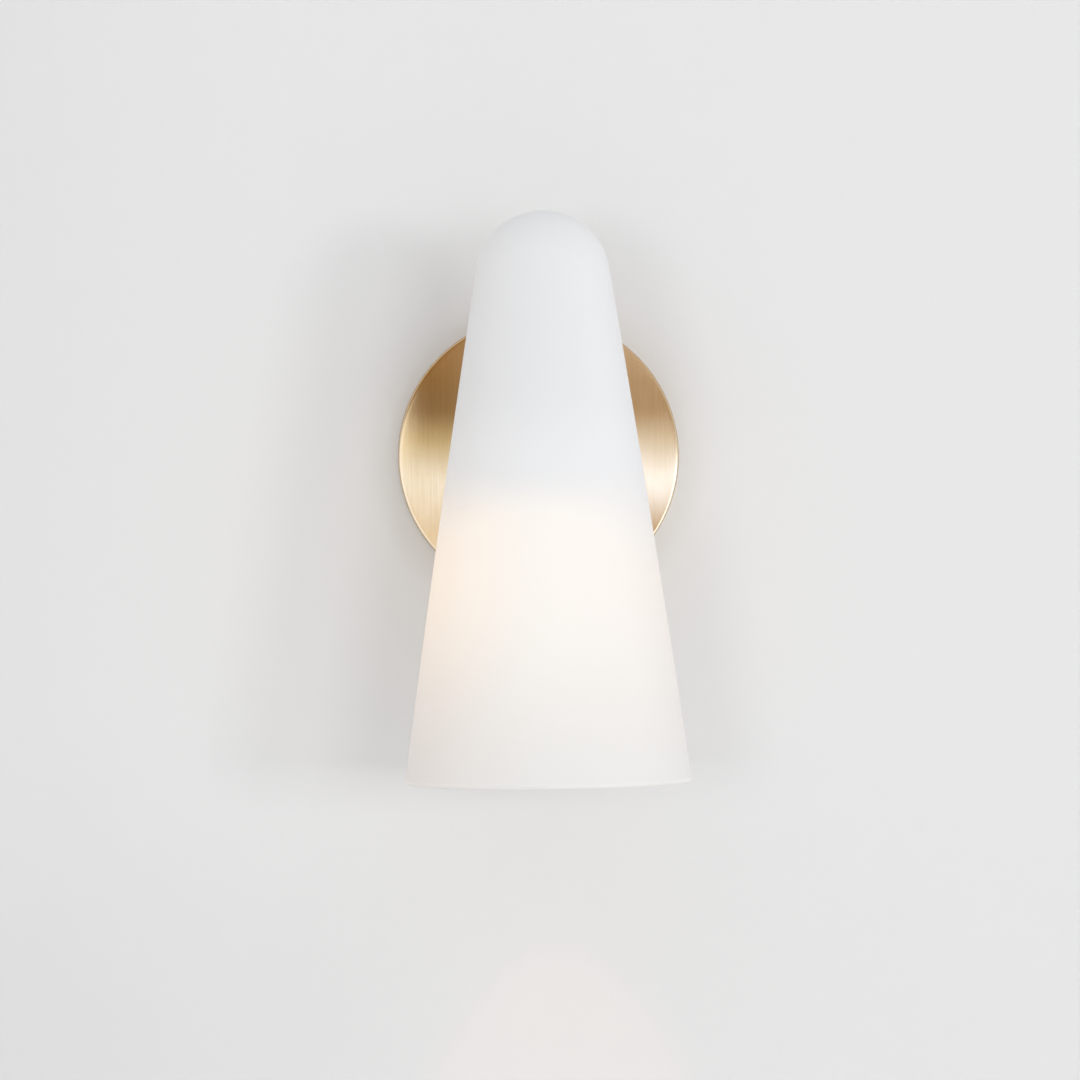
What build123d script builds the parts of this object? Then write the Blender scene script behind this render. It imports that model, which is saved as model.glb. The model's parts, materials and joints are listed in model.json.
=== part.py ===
from build123d import *
import math
import os

# A wall lamp. A tall cone of opal glass, with a round crown and an open mouth, hangs on a short brass
# arm in front of a round brass backplate, and a screw-base globe bulb lights its lower half.
# Millimetres. +Z is up, +Y points into the wall, and the origin is the backplate's centre on the wall.
# "Out" is a distance in front of the wall, along -Y. Heights are measured from the arm's line.

# Gaps on one side of a fit
THREAD_GAP = 0.05
RUNNING_GAP = 0.05
HOLE_GAP = 0.25
SEAT_GAP = 0.1
CUT_OVERRUN = 1.0

# Glass shade
SHADE_OUT = 100.0
SHADE_RISE = 99.6
SHADE_HEIGHT = 235.2
SHADE_WALL = 3.2
RIM_RADIUS = 58.8
CROWN_RADIUS = 27.6
SIDE_RADIUS = 9000.0

# Backplate, a spun cup with its open side on the wall
PLATE_DIAMETER = 120.0
PLATE_DEPTH = 22.0
PLATE_WALL = 1.5
PLATE_EDGE_RADIUS = 2.2
PLATE_INNER_RADIUS = 0.7

# Wall bracket, an upright strip with a flange bent forward at each end
BRACKET_WIDTH = 30.0
BRACKET_THICKNESS = 1.6
BRACKET_MARGIN = 0.6
BRACKET_BEND = 1.0
FLANGE_WIDTH = 16.0
FLANGE_DEPTH = 13.0
BOX_SLOT_SPACING = 79.4
BOX_SLOT_LENGTH = 14.4
BOX_SLOT_WIDTH = 4.8
CABLE_HOLE_DIAMETER = 18.0

# Screws: thread diameter, head diameter, head height and slot
PLATE_SCREW = 4.0
PLATE_SCREW_HEAD = 7.0
PLATE_SCREW_LENGTH = 8.0
EARTH_SCREW = 4.0
EARTH_SCREW_HEAD = 7.4
SMALL_SCREW = 2.9
SMALL_SCREW_HEAD = 5.2
HEAD_HEIGHT_RATIO = 0.33
HEAD_ROUNDING = 0.35
DRIVER_SLOT_WIDTH = 0.9
DRIVER_SLOT_DEPTH = 1.0

# Terminal block
BLOCK_WIDTH = 28.0
BLOCK_LENGTH = 16.0
BLOCK_DEPTH = 11.0
BLOCK_ROUNDING = 0.8
BLOCK_TO_HOLE = 3.5
POLE_PITCH = 9.0
SLEEVE_DIAMETER = 5.0
SLEEVE_BORE = 3.2
SLEEVE_RECESS = 1.5
CLAMP_SCREW_PITCH = 7.0
CLAMP_SCREW_SINK = 1.2

# Earth tag
EARTH_X = -10.0
EARTH_DROP = 17.0
TAG_RADIUS = 4.2
TAG_THICKNESS = 0.8
TAG_BARREL_LENGTH = 6.0
TAG_BARREL_WALL = 0.6

# Leads
LEAD_DIAMETER = 1.8
LEAD_SPREAD = 1.2
LEAD_BEND = 4.0
HOLDER_LEAD_BEND = 3.0

# Nipple and its nut behind the backplate
NIPPLE_DIAMETER = 10.0
NIPPLE_BORE = 7.0
NUT_FLATS = 14.0
NUT_THICKNESS = 4.0
NUT_CHAMFER = 0.6
LOCK_WASHER_DIAMETER = 16.0
LOCK_WASHER_THICKNESS = 1.0
NIPPLE_TAIL = 1.5

# Hub and the arm's swivel
HUB_DIAMETER = 22.0
HUB_LENGTH = 16.0
HUB_THREAD_LENGTH = 7.0
HUB_EDGE_RADIUS = 1.0
SPIGOT_DIAMETER = 12.0
SPIGOT_END_GAP = 0.4
FRICTION_WASHER_THICKNESS = 0.8
GROOVE_WIDTH = 3.0
GROOVE_DEPTH = 1.4
SWIVEL_LIMIT = 150.0
STOP_MARGIN = 1.0
STOP_SCREW = 4.0
STOP_DOG = 2.4
STOP_TIP_GAP = 0.3
SOCKET_KEY = 2.0
SOCKET_KEY_DEPTH = 1.5

# Arm
ARM_DIAMETER = 14.0
ARM_BORE = 7.0
ARM_THREAD = 10.0
ARM_FLANGE_DIAMETER = 26.0
ARM_FLANGE_EDGE = 2.0
ARM_FLARE_LENGTH = 4.0

# Shade clamp
SHADE_HOLE_DIAMETER = 13.0
GASKET_DIAMETER = 25.0
GASKET_BORE = 10.6
GASKET_LEAST = 2.5
CLAMP_WASHER_THICKNESS = 1.0
RING_NUT_DIAMETER = 24.0
RING_NUT_THICKNESS = 4.5
RING_NUT_FLUTES = 24
RING_NUT_FLUTE = 1.4

# Socket cup
CUP_DIAMETER = 44.0
CUP_WALL = 1.2
CUP_RISE = 33.0
CUP_DROP = 15.0
CUP_EDGE_RADIUS = 5.0
CUP_LIP_RADIUS = 0.5
BOSS_DIAMETER = 17.0
BOSS_GAP = 0.3

# Lampholder
HOLDER_DIAMETER = 34.0
HOLDER_RECESS = 2.0
HOLDER_CAVITY_DEPTH = 24.0
HOLDER_FLOOR = 6.0
HOLDER_EDGE_RADIUS = 0.8
SHELL_WALL = 0.9
SHELL_LIP_GAP = 1.0
SHELL_FLOOR = 0.6
SHELL_FLOOR_BORE = 14.0
CONTACT_DIAMETER = 8.0
CONTACT_BUTTON = 4.0
CONTACT_THICKNESS = 0.8
CONTACT_STEM = 3.0
STRIP_WIDTH = 5.0
STRIP_THICKNESS = 0.8
TERMINAL_X = 7.0
TERMINAL_BACK = 9.0
SHELL_STEM_X = -9.0
TERMINAL_SCREW_LENGTH = 4.0
FIXING_X = 11.0
FIXING_FRONT = 6.0
FIXING_GRIP = 4.5
SPACER_DIAMETER = 6.0

# Bulb
THREAD_PITCH = 3.629
THREAD_RADIUS = 1.19
THREAD_CREST_DIAMETER = 26.3
THREAD_ROOT_DIAMETER = 24.5
THREAD_PLAY = 0.25
GROOVE_LEAD_IN = 1.0
GROOVE_RUN_OUT = 0.25
CAP_LENGTH = 17.0
CAP_BORE_DIAMETER = 22.4
CAP_PLAIN_END = 2.4
INSULATOR_LENGTH = 5.0
INSULATOR_TOP_DIAMETER = 12.0
TIP_DIAMETER = 9.0
TIP_HEIGHT = 1.6
CONTACT_GAP = 0.2
GLOBE_DIAMETER = 50.0
GLOBE_DROP = 31.0
GLOBE_WALL = 0.8
NECK_DIAMETER = 23.6
NECK_GAP = 0.1
NECK_FLARE_RADIUS = 8.0
STEM_DIAMETER = 9.0
STEM_TIP_DIAMETER = 5.0
STEM_LENGTH = 26.0
FILAMENT_COUNT = 4
FILAMENT_FIRST_TURN = 45.0
FILAMENT_DIAMETER = 1.6
FILAMENT_LENGTH = 30.0
FILAMENT_RING_TOP = 5.5
FILAMENT_RING_BOTTOM = 10.5
SUPPORT_WIRE = 0.6

# Places along the arm's line, as distances out from the wall
plate_radius = PLATE_DIAMETER / 2
plate_inside = plate_radius - PLATE_WALL
lock_washer_out = PLATE_DEPTH - PLATE_WALL - LOCK_WASHER_THICKNESS
nut_out = lock_washer_out - NUT_THICKNESS
nipple_back = nut_out - NIPPLE_TAIL
hub_floor = PLATE_DEPTH + HUB_THREAD_LENGTH
hub_front = PLATE_DEPTH + HUB_LENGTH
spigot_back = hub_floor + SPIGOT_END_GAP
arm_shoulder = hub_front + FRICTION_WASHER_THICKNESS
groove_out = (hub_floor + hub_front) / 2
lead_split = hub_floor + SPIGOT_END_GAP / 2
cup_radius = CUP_DIAMETER / 2
cup_inside = cup_radius - CUP_WALL
arm_end = SHADE_OUT - cup_inside

# Heights of the lampholder and the bulb
holder_radius = HOLDER_DIAMETER / 2
holder_low = -CUP_DROP + HOLDER_RECESS
cavity_top = holder_low + HOLDER_CAVITY_DEPTH
holder_top = cavity_top + HOLDER_FLOOR
strip_top = holder_top + STRIP_THICKNESS
crest_radius = THREAD_CREST_DIAMETER / 2
root_radius = THREAD_ROOT_DIAMETER / 2
shell_bore = root_radius + THREAD_PLAY
shell_radius = crest_radius + THREAD_PLAY + SHELL_WALL
cavity_radius = shell_radius + SEAT_GAP
tip_top = cavity_top - 2 * CONTACT_THICKNESS - CONTACT_GAP
tip_low = tip_top - TIP_HEIGHT
cap_top = tip_low - INSULATOR_LENGTH
cap_low = cap_top - CAP_LENGTH
globe_centre = cap_low - GLOBE_DROP
globe_radius = GLOBE_DIAMETER / 2


def rod_out(radius, start, end, x=0.0, z=0.0):
    """A round bar square to the wall, between two distances out from it."""
    return Pos(x, -(start + end) / 2, z) * Rot(X=90) * Cylinder(radius, end - start)


def ring_out(radius, bore, start, end, x=0.0, z=0.0):
    """A round bar square to the wall with a hole through it."""
    hole = rod_out(bore, start - CUT_OVERRUN, end + CUT_OVERRUN, x, z)
    return rod_out(radius, start, end, x, z) - hole


def post(radius, low, high, x=0.0, out=SHADE_OUT):
    """An upright round bar between two heights, on the shade's axis unless it is placed elsewhere."""
    return Pos(x, -out, (low + high) / 2) * Cylinder(radius, high - low)


def tube(radius, bore, low, high, x=0.0, out=SHADE_OUT):
    """An upright round bar with a hole through it."""
    return post(radius, low, high, x, out) - post(bore, low - CUT_OVERRUN, high + CUT_OVERRUN, x, out)


def turned_on_arm(corners):
    """A shape turned about the arm's line, from corners given as (radius, out)."""
    outline = Polyline(*[(radius, -out) for radius, out in corners], close=True)
    return revolve(make_face(outline), Axis.Y)


def turned_upright(outline):
    """A shape turned about the shade's axis, from a closed outline drawn as (radius, height)."""
    return Pos(0, -SHADE_OUT, 0) * revolve(Plane.XZ * make_face(outline), Axis.Z)


def slotted_screw(diameter, length, head):
    """A slotted screw whose head sits on the origin, with its shank along -Z."""
    head_height = head * HEAD_HEIGHT_RATIO
    low_centre = (Align.CENTER, Align.CENTER, Align.MIN)
    top_centre = (Align.CENTER, Align.CENTER, Align.MAX)
    dome = Cylinder(head / 2, head_height, align=low_centre)
    dome = fillet(dome.edges().group_by(Axis.Z)[-1], head_height * HEAD_ROUNDING)
    slot = Pos(Z=head_height) * Box(head + CUT_OVERRUN, DRIVER_SLOT_WIDTH, 2 * DRIVER_SLOT_DEPTH)
    return dome + Cylinder(diameter / 2, length, align=top_centre) - slot


def facing_out(shape, x, out, z):
    """Places a screw so that its head faces away from the wall."""
    return Pos(x, -out, z) * Rot(X=90) * shape


def lead(points, bend):
    """A round insulated lead along straight runs joined by arcs."""
    path = FilletPolyline(*points, radius=bend)
    section = Plane(origin=path @ 0, z_dir=path % 0) * Circle(LEAD_DIAMETER / 2)
    return sweep(section, path=path)


# The shade's outline: a crown arc on the axis, tangent to one long, slightly bulging side arc
shade_top = SHADE_RISE
shade_bottom = SHADE_RISE - SHADE_HEIGHT
crown_height = shade_top - CROWN_RADIUS
side_end = Vector(RIM_RADIUS, shade_bottom + SHADE_WALL / 2)
crown_centre = Vector(0, crown_height)
to_rim = side_end - crown_centre
inner_reach = SIDE_RADIUS - CROWN_RADIUS
along = (inner_reach**2 - SIDE_RADIUS**2 + to_rim.length**2) / (2 * to_rim.length)
across = math.sqrt(inner_reach**2 - along**2)
rim_way = to_rim.normalized()
side_centre = crown_centre + rim_way * along + Vector(rim_way.Y, -rim_way.X) * across
join_angle = math.atan2(crown_height - side_centre.Y, -side_centre.X)
rim_angle = math.atan2(side_end.Y - side_centre.Y, side_end.X - side_centre.X)


def crown_point(angle, inset):
    """A point of the crown arc, inset from the outer face of the glass."""
    reach = CROWN_RADIUS - inset
    return (reach * math.cos(angle), crown_height + reach * math.sin(angle))


def side_point(angle, inset):
    """A point of the side arc, inset from the outer face of the glass."""
    reach = SIDE_RADIUS - inset
    return (side_centre.X + reach * math.cos(angle), side_centre.Y + reach * math.sin(angle))


def shade_radius(height, inset):
    """The shade's radius on its side at one height."""
    return side_centre.X + math.sqrt((SIDE_RADIUS - inset) ** 2 - (height - side_centre.Y) ** 2)


def shade_face(inset):
    """The two arcs of one face of the glass, from the top of the crown to the rim."""
    upright = math.pi / 2
    crown = ThreePointArc(
        crown_point(upright, inset),
        crown_point((upright + join_angle) / 2, inset),
        crown_point(join_angle, inset),
    )
    side = ThreePointArc(
        side_point(join_angle, inset),
        side_point((join_angle + rim_angle) / 2, inset),
        side_point(rim_angle, inset),
    )
    return [crown, side]


def shade_form(inset):
    """The solid space inside one face of the glass."""
    rim = side_point(rim_angle, inset)
    crown_top = crown_point(math.pi / 2, inset)
    closing = Polyline(rim, (0, rim[1]), crown_top)
    return turned_upright([*shade_face(inset), closing])


def glass_shade():
    """The shade: an even wall with a rounded lip, and a hole in its back for the arm."""
    outer_rim = side_point(rim_angle, 0)
    inner_rim = side_point(rim_angle, SHADE_WALL)
    middle = side_point(rim_angle, SHADE_WALL / 2)
    lip_reach = SHADE_WALL / 2
    lip_low = (middle[0] - lip_reach * math.sin(rim_angle), middle[1] - lip_reach * math.cos(rim_angle))
    lip = ThreePointArc(outer_rim, lip_low, inner_rim)
    crown_line = Line((0, shade_top), (0, shade_top - SHADE_WALL))
    glass = turned_upright([*shade_face(0), lip, *shade_face(SHADE_WALL), crown_line])
    return glass - rod_out(SHADE_HOLE_DIAMETER / 2, 0, SHADE_OUT)


# Flat seats each side of the glass, set so that each gasket is no thinner than its least thickness
gasket_radius = GASKET_DIAMETER / 2
gasket_diagonal = gasket_radius * math.sqrt(0.5)
outer_seat = SHADE_OUT - shade_radius(-gasket_radius, 0) - GASKET_LEAST
inner_reach_back = math.sqrt(shade_radius(gasket_diagonal, SHADE_WALL) ** 2 - gasket_diagonal**2)
inner_seat = SHADE_OUT - inner_reach_back + GASKET_LEAST
ring_nut_back = inner_seat + CLAMP_WASHER_THICKNESS
boss_back = ring_nut_back + RING_NUT_THICKNESS + BOSS_GAP


def outer_gasket():
    """The gasket behind the glass: flat on the arm's flange, and moulded to the glass."""
    blank = ring_out(gasket_radius, GASKET_BORE / 2, outer_seat, SHADE_OUT)
    return blank - shade_form(-SEAT_GAP)


def inner_gasket():
    """The gasket inside the glass: moulded to the glass, and flat under the clamp washer."""
    blank = ring_out(gasket_radius, GASKET_BORE / 2, outer_seat, inner_seat)
    return blank & shade_form(SHADE_WALL + SEAT_GAP)


def clamp_washer():
    """The flat washer under the ring nut."""
    return ring_out(gasket_radius, ARM_THREAD / 2 + HOLE_GAP, inner_seat, ring_nut_back)


def ring_nut():
    """The fluted nut that clamps the glass."""
    end = ring_nut_back + RING_NUT_THICKNESS
    nut = ring_out(RING_NUT_DIAMETER / 2, ARM_THREAD / 2 + THREAD_GAP, ring_nut_back, end)
    cut_back = ring_nut_back - CUT_OVERRUN
    flute = rod_out(RING_NUT_FLUTE / 2, cut_back, end + CUT_OVERRUN, RING_NUT_DIAMETER / 2)
    flutes = [Rot(Y=turn * 360 / RING_NUT_FLUTES) * flute for turn in range(RING_NUT_FLUTES)]
    return nut - flutes


def backplate():
    """The spun brass plate, with a hole for the nipple and one at top and bottom for its screws."""
    plate = rod_out(plate_radius, 0, PLATE_DEPTH)
    plate = fillet(plate.edges().group_by(Axis.Y)[0], PLATE_EDGE_RADIUS)
    hollow = rod_out(plate_inside, -CUT_OVERRUN, PLATE_DEPTH - PLATE_WALL)
    hollow = fillet(hollow.edges().group_by(Axis.Y)[0], PLATE_INNER_RADIUS)
    screw_hole = post(PLATE_SCREW / 2 + HOLE_GAP, -plate_radius, plate_radius, 0, flange_screw_out)
    return plate - hollow - rod_out(NIPPLE_DIAMETER / 2 + HOLE_GAP, 0, PLATE_DEPTH) - screw_hole


# The bracket's flanges stand inside the plate, with their corners clear of its wall
flange_height = math.sqrt(plate_inside**2 - (FLANGE_WIDTH / 2) ** 2) - BRACKET_MARGIN
flange_screw_out = (FLANGE_DEPTH + BRACKET_THICKNESS + BRACKET_BEND) / 2


def edges_across(shape, out, height):
    """The edges of a shape that run left to right at one distance out and one height."""
    level = shape.edges().filter_by(Axis.X).filter_by_position(Axis.Z, height - SEAT_GAP, height + SEAT_GAP)
    return level.filter_by_position(Axis.Y, -out - SEAT_GAP, -out + SEAT_GAP)


def wall_bracket():
    """The steel strip on the wall, with box screw slots, a cable hole and two tapped flanges."""
    bend_reach = BRACKET_BEND + BRACKET_THICKNESS
    shoulder_height = flange_height - bend_reach - SEAT_GAP
    strip = Rectangle(BRACKET_WIDTH, 2 * shoulder_height) & Circle(plate_inside - BRACKET_MARGIN)
    strip += Rectangle(FLANGE_WIDTH, 2 * flange_height)
    slot = Rot(Z=90) * SlotOverall(BOX_SLOT_LENGTH, BOX_SLOT_WIDTH)
    strip -= [Pos(0, side * BOX_SLOT_SPACING / 2) * slot for side in (-1, 1)]
    strip -= Circle(CABLE_HOLE_DIAMETER / 2)
    bracket = extrude(Plane.XZ * strip, BRACKET_THICKNESS)
    for side in (-1, 1):
        middle = side * (flange_height - BRACKET_THICKNESS / 2)
        flange = Pos(0, -FLANGE_DEPTH / 2, middle) * Box(FLANGE_WIDTH, FLANGE_DEPTH, BRACKET_THICKNESS)
        bracket += flange
        inner_corner = edges_across(bracket, BRACKET_THICKNESS, side * (flange_height - BRACKET_THICKNESS))
        bracket = fillet(inner_corner, BRACKET_BEND)
        outer_corner = edges_across(bracket, 0, side * flange_height)
        bracket = fillet(outer_corner, bend_reach)
    bracket -= post(PLATE_SCREW / 2 + THREAD_GAP, -plate_radius, plate_radius, 0, flange_screw_out)
    bracket -= rod_out(EARTH_SCREW / 2 + THREAD_GAP, -CUT_OVERRUN, PLATE_DEPTH, EARTH_X, -EARTH_DROP)
    for x in (-POLE_PITCH / 2, POLE_PITCH / 2):
        bracket -= rod_out(SMALL_SCREW / 2 + THREAD_GAP, -CUT_OVERRUN, PLATE_DEPTH, x, block_middle)
    return bracket


def plate_screws():
    """The two screws through the plate's side wall, at its top and bottom."""
    screw = slotted_screw(PLATE_SCREW, PLATE_SCREW_LENGTH, PLATE_SCREW_HEAD)
    top = Pos(0, -flange_screw_out, plate_radius) * screw
    bottom = Pos(0, -flange_screw_out, -plate_radius) * Rot(X=180) * screw
    return [top, bottom]


# The terminal block stands on the strip above the cable hole
block_low = CABLE_HOLE_DIAMETER / 2 + BLOCK_TO_HOLE
block_middle = block_low + BLOCK_LENGTH / 2
block_front = BRACKET_THICKNESS + BLOCK_DEPTH
pole_out = BRACKET_THICKNESS + BLOCK_DEPTH / 2
pole_places = [-POLE_PITCH, 0.0, POLE_PITCH]
clamp_places = [block_middle - CLAMP_SCREW_PITCH / 2, block_middle + CLAMP_SCREW_PITCH / 2]
clamp_seat = block_front - CLAMP_SCREW_SINK - SMALL_SCREW_HEAD * HEAD_HEIGHT_RATIO


def terminal_block():
    """The moulded block: a bore for each pole, a well over each clamping screw and two fixing holes."""
    block = Pos(0, -pole_out, block_middle) * Box(BLOCK_WIDTH, BLOCK_DEPTH, BLOCK_LENGTH)
    block = fillet(block.edges().filter_by(Axis.Y), BLOCK_ROUNDING)
    well_radius = SMALL_SCREW_HEAD / 2 + HOLE_GAP
    for x in pole_places:
        bore = post(SLEEVE_DIAMETER / 2 + THREAD_GAP, block_low, block_low + BLOCK_LENGTH, x, pole_out)
        block -= bore
        for z in clamp_places:
            block -= rod_out(well_radius, pole_out, block_front, x, z)
    for x in (-POLE_PITCH / 2, POLE_PITCH / 2):
        block -= rod_out(SMALL_SCREW / 2 + HOLE_GAP, 0, block_front, x, block_middle)
    return block


def terminal_sleeves():
    """One brass sleeve in each pole, tapped for its two clamping screws."""
    sleeves = []
    for x in pole_places:
        low = block_low + SLEEVE_RECESS
        high = block_low + BLOCK_LENGTH - SLEEVE_RECESS
        sleeve = tube(SLEEVE_DIAMETER / 2, SLEEVE_BORE / 2, low, high, x, pole_out)
        for z in clamp_places:
            sleeve -= rod_out(SMALL_SCREW / 2 + THREAD_GAP, pole_out, block_front, x, z)
        sleeves.append(sleeve)
    return sleeves


def terminal_screws():
    """The clamping screws, with their tips just inside the sleeves' bores."""
    tip_out = pole_out + LEAD_DIAMETER / 2 + SEAT_GAP
    screw = slotted_screw(SMALL_SCREW, clamp_seat - tip_out, SMALL_SCREW_HEAD)
    return [facing_out(screw, x, clamp_seat, z) for x in pole_places for z in clamp_places]


def block_screws():
    """The two screws that hold the block on the bracket."""
    screw = slotted_screw(SMALL_SCREW, block_front, SMALL_SCREW_HEAD)
    return [facing_out(screw, x, block_front, block_middle) for x in (-POLE_PITCH / 2, POLE_PITCH / 2)]


# The earth tag lies flat under its screw, with a barrel that takes the lead
tag_front = BRACKET_THICKNESS + TAG_THICKNESS
barrel_bore = LEAD_DIAMETER / 2 + THREAD_GAP
barrel_radius = barrel_bore + TAG_BARREL_WALL
barrel_out = BRACKET_THICKNESS + SEAT_GAP + barrel_radius
barrel_foot = -EARTH_DROP + EARTH_SCREW_HEAD / 2 + SEAT_GAP
barrel_low = barrel_foot + TAG_BARREL_WALL
barrel_high = barrel_low + TAG_BARREL_LENGTH


def earth_tag():
    """The ring tag, its neck and its barrel."""
    tag = rod_out(TAG_RADIUS, BRACKET_THICKNESS, tag_front, EARTH_X, -EARTH_DROP)
    neck_length = barrel_high + EARTH_DROP
    neck = Box(2 * barrel_radius, TAG_THICKNESS, neck_length)
    tag += Pos(EARTH_X, -(BRACKET_THICKNESS + tag_front) / 2, barrel_high - neck_length / 2) * neck
    tag += post(barrel_radius, barrel_foot, barrel_high, EARTH_X, barrel_out)
    tag -= post(barrel_bore, barrel_low, barrel_high + CUT_OVERRUN, EARTH_X, barrel_out)
    return tag - rod_out(EARTH_SCREW / 2 + HOLE_GAP, 0, PLATE_DEPTH, EARTH_X, -EARTH_DROP)


def earth_screw():
    """The screw that clamps the earth tag to the bracket."""
    screw = slotted_screw(EARTH_SCREW, tag_front, EARTH_SCREW_HEAD)
    return facing_out(screw, EARTH_X, tag_front, -EARTH_DROP)


def earth_lead():
    """The earth lead, from its pole down to the tag's barrel."""
    pole = pole_places[0]
    points = [
        (pole, -pole_out, block_middle),
        (pole, -pole_out, block_low - BLOCK_TO_HOLE),
        (EARTH_X, -barrel_out, barrel_high + BLOCK_TO_HOLE),
        (EARTH_X, -barrel_out, barrel_low + SEAT_GAP),
    ]
    return lead(points, LEAD_BEND)


def live_supply_lead():
    """The live lead, from the middle pole into the nipple and up to the swivel."""
    points = [
        (pole_places[1], -pole_out, block_middle),
        (-LEAD_SPREAD, -pole_out, 0),
        (-LEAD_SPREAD, -lead_split + SEAT_GAP, 0),
    ]
    return lead(points, LEAD_BEND)


def neutral_supply_lead():
    """The neutral lead, from the last pole into the nipple and up to the swivel."""
    points = [
        (pole_places[2], -pole_out, block_middle),
        (pole_places[2], -pole_out, block_low - BLOCK_TO_HOLE),
        (LEAD_SPREAD, -pole_out, 0),
        (LEAD_SPREAD, -lead_split + SEAT_GAP, 0),
    ]
    return lead(points, LEAD_BEND)


def threaded_nipple():
    """The hollow threaded tube that ties the hub to the backplate."""
    return ring_out(NIPPLE_DIAMETER / 2, NIPPLE_BORE / 2, nipple_back, hub_floor)


def lock_washer():
    """The washer between the backplate and its nut."""
    bore = NIPPLE_DIAMETER / 2 + HOLE_GAP
    return ring_out(LOCK_WASHER_DIAMETER / 2, bore, lock_washer_out, PLATE_DEPTH - PLATE_WALL)


def nipple_nut():
    """The hexagon nut behind the backplate, with its corners chamfered."""
    hexagon = extrude(Plane.XZ * RegularPolygon(NUT_FLATS / 2, 6, major_radius=False), NUT_THICKNESS)
    corner_radius = NUT_FLATS / math.sqrt(3)
    rounded = chamfer(rod_out(corner_radius, 0, NUT_THICKNESS).edges(), NUT_CHAMFER)
    bore = rod_out(NIPPLE_DIAMETER / 2 + THREAD_GAP, -CUT_OVERRUN, NUT_THICKNESS + CUT_OVERRUN)
    return Pos(0, -nut_out, 0) * ((hexagon & rounded) - bore)


# The arm's spigot turns in the hub; a stop screw runs in a groove round it that stops short of a full turn
spigot_radius = SPIGOT_DIAMETER / 2
groove_radius = spigot_radius - GROOVE_DEPTH
hub_radius = HUB_DIAMETER / 2
stop_half_angle = math.degrees(math.asin(STOP_DOG / 2 / groove_radius))
groove_half_angle = SWIVEL_LIMIT + stop_half_angle + STOP_MARGIN


def swivel_hub():
    """The turned hub: threaded on the nipple, bored for the spigot and tapped below for the stop screw."""
    hub = rod_out(hub_radius, PLATE_DEPTH, hub_front)
    hub = fillet(hub.edges().group_by(Axis.Y)[0], HUB_EDGE_RADIUS)
    hub -= rod_out(NIPPLE_DIAMETER / 2 + THREAD_GAP, 0, hub_front)
    hub -= rod_out(spigot_radius + RUNNING_GAP, hub_floor, hub_front + CUT_OVERRUN)
    return hub - post(STOP_SCREW / 2 + THREAD_GAP, -hub_radius, 0, 0, groove_out)


def stop_screw():
    """The grub screw under the hub, whose dog point runs in the spigot's groove."""
    shoulder = -spigot_radius - STOP_TIP_GAP
    body = post(STOP_SCREW / 2, -hub_radius, shoulder, 0, groove_out)
    dog = post(STOP_DOG / 2, shoulder, -groove_radius - STOP_TIP_GAP, 0, groove_out)
    key = extrude(RegularPolygon(SOCKET_KEY / 2, 6, major_radius=False), SOCKET_KEY_DEPTH)
    return body + dog - Pos(0, -groove_out, -hub_radius) * key


def friction_washer():
    """The washer between the hub and the arm's shoulder that holds the shade where it is turned."""
    return ring_out(ARM_DIAMETER / 2, spigot_radius + RUNNING_GAP, hub_front, arm_shoulder)


def arm():
    """The turned arm: spigot with its groove, tube, flared flange for the glass, and threaded end."""
    bore = ARM_BORE / 2
    flange_radius = ARM_FLANGE_DIAMETER / 2
    flange_back = outer_seat - ARM_FLANGE_EDGE
    corners = [
        (bore, spigot_back),
        (spigot_radius, spigot_back),
        (spigot_radius, arm_shoulder),
        (ARM_DIAMETER / 2, arm_shoulder),
        (ARM_DIAMETER / 2, flange_back - ARM_FLARE_LENGTH),
        (flange_radius, flange_back),
        (flange_radius, outer_seat),
        (ARM_THREAD / 2, outer_seat),
        (ARM_THREAD / 2, arm_end),
        (bore, arm_end),
    ]
    low = groove_out - GROOVE_WIDTH / 2
    high = groove_out + GROOVE_WIDTH / 2
    outer = spigot_radius + CUT_OVERRUN
    section = [(groove_radius, -low), (outer, -low), (outer, -high), (groove_radius, -high)]
    groove = revolve(make_face(Polyline(*section, close=True)), Axis.Y, 2 * groove_half_angle)
    # The sweep of the groove is centred on the underside, where the stop screw is
    return turned_on_arm(corners) - Rot(Y=90 - groove_half_angle) * groove


def socket_cup():
    """The brass cup round the lampholder, with a boss that screws on the arm's end."""
    cup = post(cup_radius, -CUP_DROP, CUP_RISE)
    cup = fillet(cup.edges().group_by(Axis.Z)[-1], CUP_EDGE_RADIUS)
    cup = fillet(cup.edges().group_by(Axis.Z)[0], CUP_LIP_RADIUS)
    hollow = post(cup_inside, -CUP_DROP - CUT_OVERRUN, CUP_RISE - CUP_WALL)
    hollow = fillet(hollow.edges().group_by(Axis.Z)[-1], CUP_EDGE_RADIUS - CUP_WALL)
    cup += rod_out(BOSS_DIAMETER / 2, boss_back, SHADE_OUT)
    cup -= hollow
    cup -= rod_out(ARM_THREAD / 2 + THREAD_GAP, boss_back - CUT_OVERRUN, SHADE_OUT)
    for x in (-FIXING_X, FIXING_X):
        cup -= post(SMALL_SCREW / 2 + HOLE_GAP, 0, CUP_RISE + CUT_OVERRUN, x, fixing_out)
    return cup


# Terminals stand on the lampholder's back half and its fixing screws on its front half
terminal_out = SHADE_OUT - TERMINAL_BACK
fixing_out = SHADE_OUT + FIXING_FRONT
terminal_head = strip_top + LEAD_DIAMETER


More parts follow.
